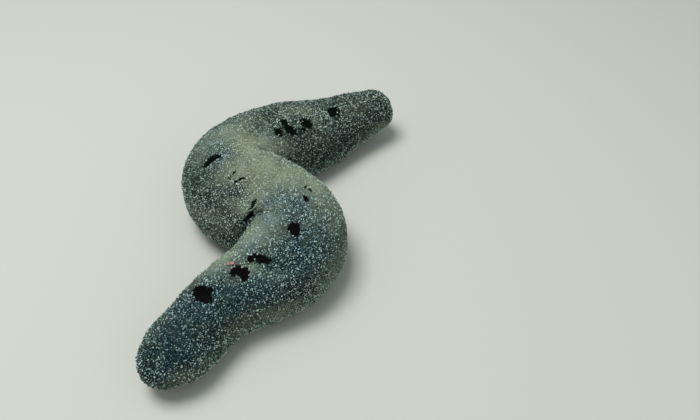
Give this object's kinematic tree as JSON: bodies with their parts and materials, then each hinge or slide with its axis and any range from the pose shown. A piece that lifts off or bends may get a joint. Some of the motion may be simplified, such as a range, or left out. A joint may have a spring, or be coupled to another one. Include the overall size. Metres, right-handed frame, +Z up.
{
  "type": "black sea cucumber",
  "caption": "Sea cucumber lying in an S bend, dark skin under a coat of sand with bare round patches, tentacles under the mouth end and tube feet along the sole.",
  "frame": {"origin": "middle of the bounding box on the floor plane under the sole", "axes": "+Z up, +Y from the mouth end to the tail end, +X to the right of a viewer who looks along +Y"},
  "size_m": [0.1198, 0.2026, 0.0468],
  "materials": {
    "skin": "blue-black wet hide, wrinkled, with small papillae",
    "sand": "coat of fine pale and grey sand grains stuck to the hide",
    "mouth_tissue": "soft wet brown-black mouth disc and tentacles",
    "tube_feet": "soft brown-grey tube feet with pale sucker rims"
  },
  "bodies": {
    "root": {"oral_end": "skin", "oral_disc": "mouth_tissue", "fore_body": "skin", "fore_bend_lower": "skin", "fore_bend_upper": "skin", "mid_body": "skin", "hind_bend_lower": "skin", "hind_bend_upper": "skin", "hind_body": "skin", "anal_end": "skin"}
  },
  "joints": []
}
